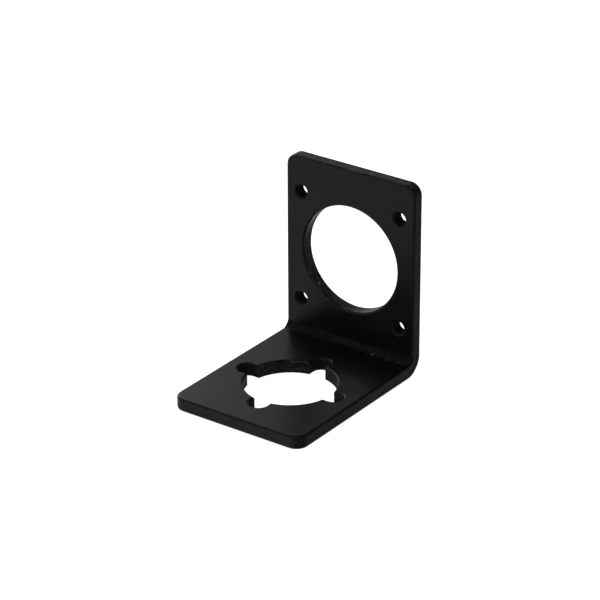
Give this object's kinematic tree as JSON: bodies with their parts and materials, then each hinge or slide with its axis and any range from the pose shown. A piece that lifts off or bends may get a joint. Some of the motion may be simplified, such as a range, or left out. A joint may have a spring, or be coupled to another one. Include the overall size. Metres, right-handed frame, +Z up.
{
  "type": "motor mounting bracket",
  "caption": "Folded sheet-metal angle bracket with a pilot hole and screw holes for a small square motor, and a slotted round opening in its base.",
  "frame": {"origin": "middle of the bounding box's underside, on the base's underside", "axes": "+X across the bracket, +Y from the base's free edge to the upright plate, +Z up"},
  "size_m": [0.03, 0.04, 0.04],
  "materials": {
    "black_powder_coat": "satin black powder coat on folded mild-steel sheet"
  },
  "bodies": {
    "root": {"bracket": "black_powder_coat"}
  },
  "joints": []
}
